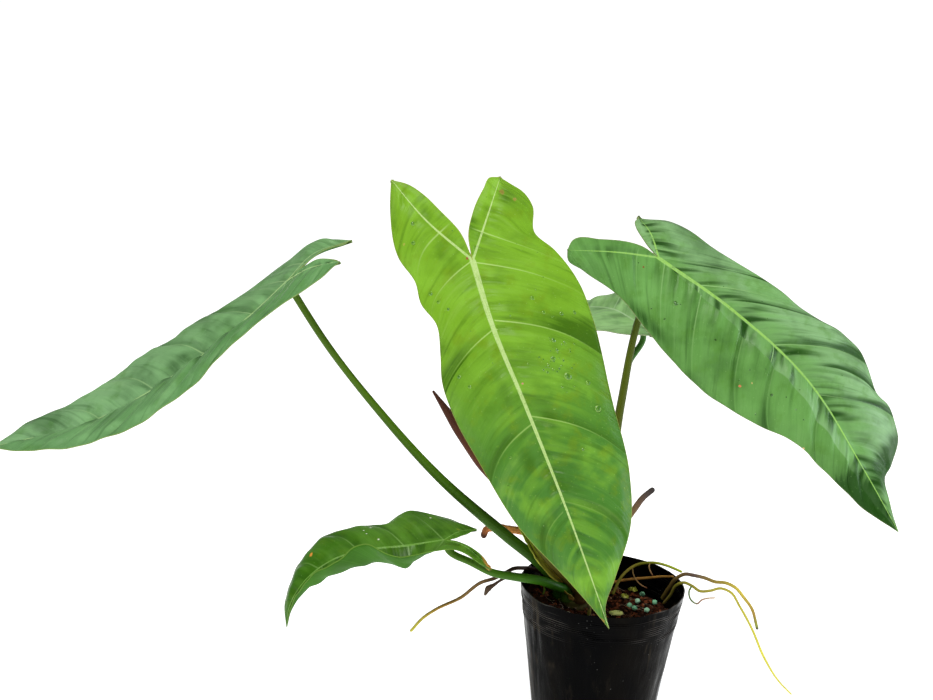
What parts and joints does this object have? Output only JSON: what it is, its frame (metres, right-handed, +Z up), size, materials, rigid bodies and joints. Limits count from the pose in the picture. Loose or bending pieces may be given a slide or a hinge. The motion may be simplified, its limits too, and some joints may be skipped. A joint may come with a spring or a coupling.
{
  "type": "potted philodendron",
  "caption": "Young philodendron with heart-shaped glossy leaves on long arching petioles, in a soft black tapered nursery pot with aerial roots over its rim.",
  "frame": {"origin": "centre of the pot's flat underside", "axes": "+Z up along the pot's axis, -Y the side that the large front leaf faces, +X the side of the right-hand leaf"},
  "size_m": [0.6399, 0.2744, 0.4049],
  "materials": {
    "pot_film": "glossy thin film",
    "soil": "rough and damp",
    "stem": "matte",
    "leaf_bright": "satin",
    "leaf": "satin",
    "petiole": "satin",
    "cataphyll": "matte",
    "dried_cataphyll": "matte",
    "root_brown": "matte",
    "root_orange": "matte",
    "root_yellow": "matte",
    "bark": "rough",
    "moss": "rough",
    "fertiliser": "matte"
  },
  "bodies": {
    "root": {"nursery_pot": "pot_film", "soil": "soil", "stem": "stem", "front_blade": "leaf_bright", "right_blade": "leaf", "left_blade": "leaf", "low_blade": "leaf", "back_blade": "leaf", "front_petiole": "petiole", "right_petiole": "petiole", "left_petiole": "petiole", "low_petiole": "petiole", "back_petiole": "petiole", "cataphyll_spear": "cataphyll", "dried_cataphyll": "dried_cataphyll", "root_orange": "root_orange", "root_yellow": "root_yellow", "root_long": "root_yellow", "root_thick": "root_brown", "root_left": "root_brown", "root_hooked": "root_orange", "root_shrivelled": "root_brown", "root_upright": "root_brown", "root_stub": "root_yellow", "sprout": "moss", "feed_pellet_1": "fertiliser", "feed_pellet_2": "fertiliser", "feed_pellet_3": "fertiliser", "feed_pellet_4": "fertiliser", "feed_pellet_5": "fertiliser", "feed_pellet_6": "fertiliser", "moss_clump_1": "moss", "moss_clump_2": "moss", "pale_chip": "moss", "bark_chip_1": "bark", "bark_chip_2": "bark", "bark_chip_3": "bark", "bark_chip_4": "bark", "bark_chip_5": "bark"}
  },
  "joints": []
}
